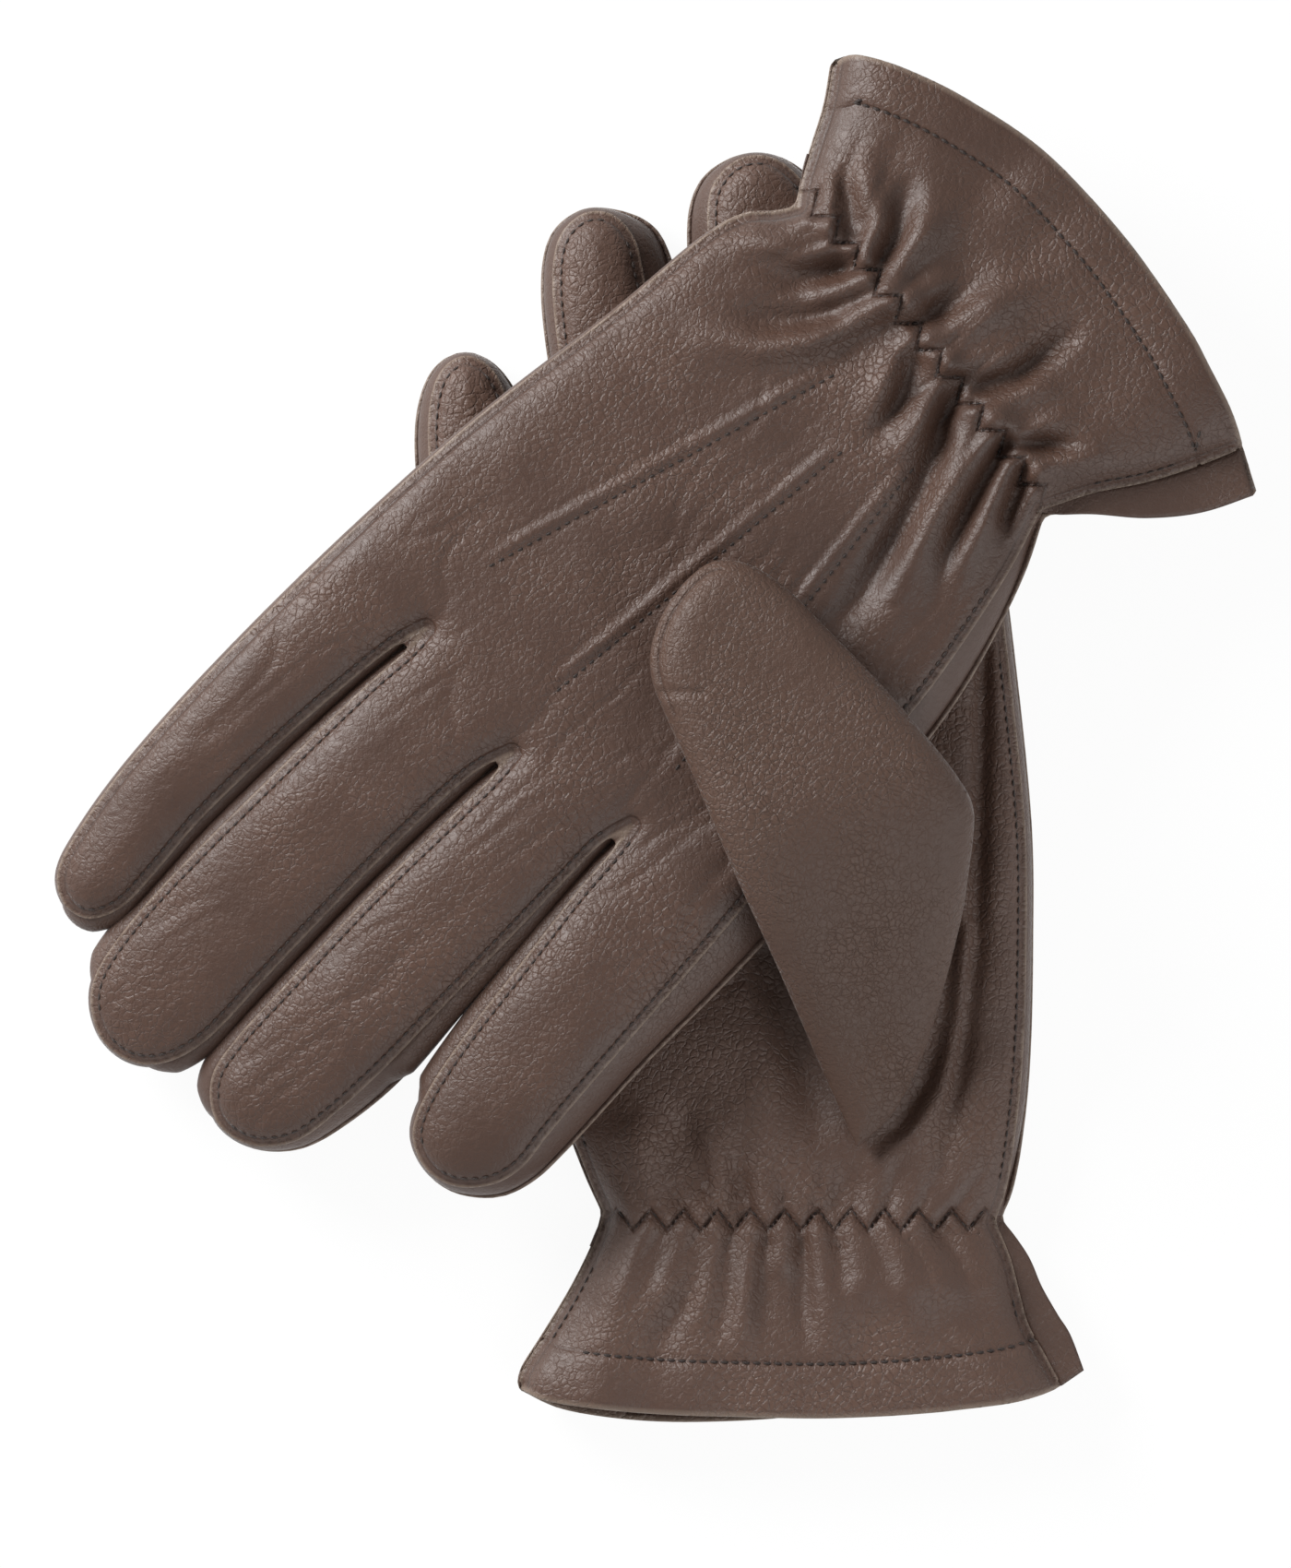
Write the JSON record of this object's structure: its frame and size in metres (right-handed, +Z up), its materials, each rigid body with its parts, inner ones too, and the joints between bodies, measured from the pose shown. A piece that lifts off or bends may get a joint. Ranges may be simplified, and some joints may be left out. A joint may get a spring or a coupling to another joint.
{
  "type": "leather gloves",
  "caption": "Pair of lined leather gloves with elastic wrists, laid crossed: right palm up, left back up, right thumb folded over the left.",
  "frame": {"origin": "middle of the pair's box in plan, on the surface it rests on", "axes": "+Z up; +Y towards the right glove's fingertips; +X to the right seen from above"},
  "size_m": [0.243, 0.2736, 0.0553],
  "materials": {
    "back_leather": "pebbled satin",
    "palm_leather": "pebbled satin",
    "fourchette_leather": "satin",
    "thumb_leather": "smooth satin",
    "lining": "brushed knit",
    "elastic": "woven",
    "thread": "twisted polyester"
  },
  "bodies": {
    "right_glove": {"right_back_panel": "back_leather", "right_palm_panel": "palm_leather", "right_fourchette_index_middle": "fourchette_leather", "right_fourchette_middle_ring": "fourchette_leather", "right_fourchette_ring_little": "fourchette_leather", "right_lining": "lining", "right_wrist_elastic": "elastic", "right_zigzag_stitching": "thread", "right_hem_stitching": "thread"},
    "right_thumb": {"right_thumb": "thumb_leather", "right_thumb_lining": "lining"},
    "left_glove": {"left_back_panel": "back_leather", "left_palm_panel": "palm_leather", "left_fourchette_index_middle": "fourchette_leather", "left_fourchette_middle_ring": "fourchette_leather", "left_fourchette_ring_little": "fourchette_leather", "left_lining": "lining", "left_wrist_elastic": "elastic", "left_zigzag_stitching": "thread", "left_hem_stitching": "thread", "left_thumb": "thumb_leather", "left_thumb_lining": "lining"}
  },
  "joints": [
    {"name": "right_thumb_fold", "type": "hinge", "parent": "right_glove", "child": "right_thumb", "pos_m": [0.0576, -0.0627, 0.0153], "axis": [0.1825, 0.9832, 0], "range_deg": [0, 40]},
    {"name": "left_glove_slide", "type": "slide", "parent": "right_glove", "child": "left_glove", "axis": [-0.6115, 0.7912, 0], "range_m": [0, 0.06]}
  ]
}
